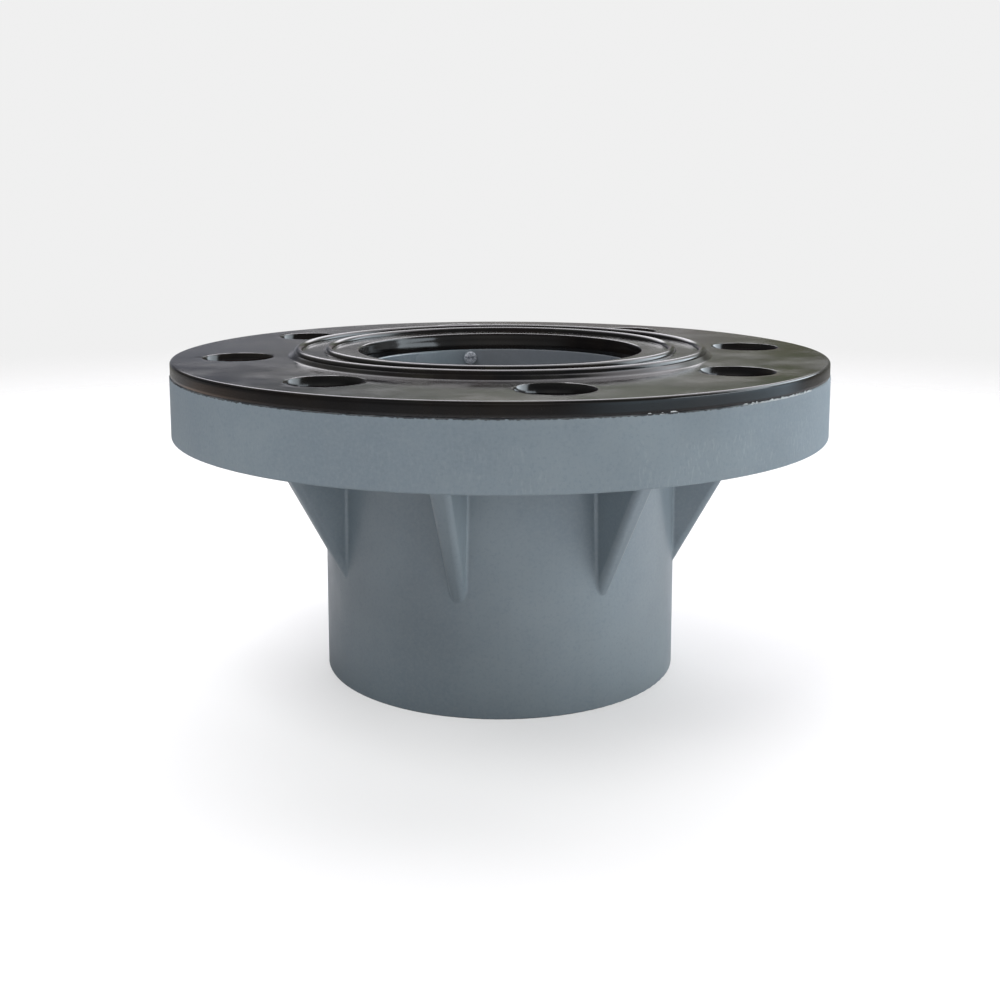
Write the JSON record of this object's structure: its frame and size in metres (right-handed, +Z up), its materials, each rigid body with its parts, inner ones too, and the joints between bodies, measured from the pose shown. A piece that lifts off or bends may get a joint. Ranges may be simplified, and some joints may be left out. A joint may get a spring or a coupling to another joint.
{
  "type": "pipe flange",
  "caption": "Moulded plastic pipe flange: a thick drilled disc on a solvent-weld pipe socket with gusset ribs, and a loose full-face rubber gasket with raised sealing beads.",
  "frame": {"origin": "centre of the foot, the annular end of the socket hub on which the flange stands", "axes": "+Z runs up the bore from the foot to the sealing face; the bolt holes straddle X and Y, and +X runs along one rib"},
  "size_m": [0.2, 0.2, 0.0998],
  "materials": {
    "pvc": "moulded, satin",
    "rubber": "moulded, dull"
  },
  "bodies": {
    "root": {"flange_body": "pvc", "gasket": "rubber"}
  },
  "joints": []
}
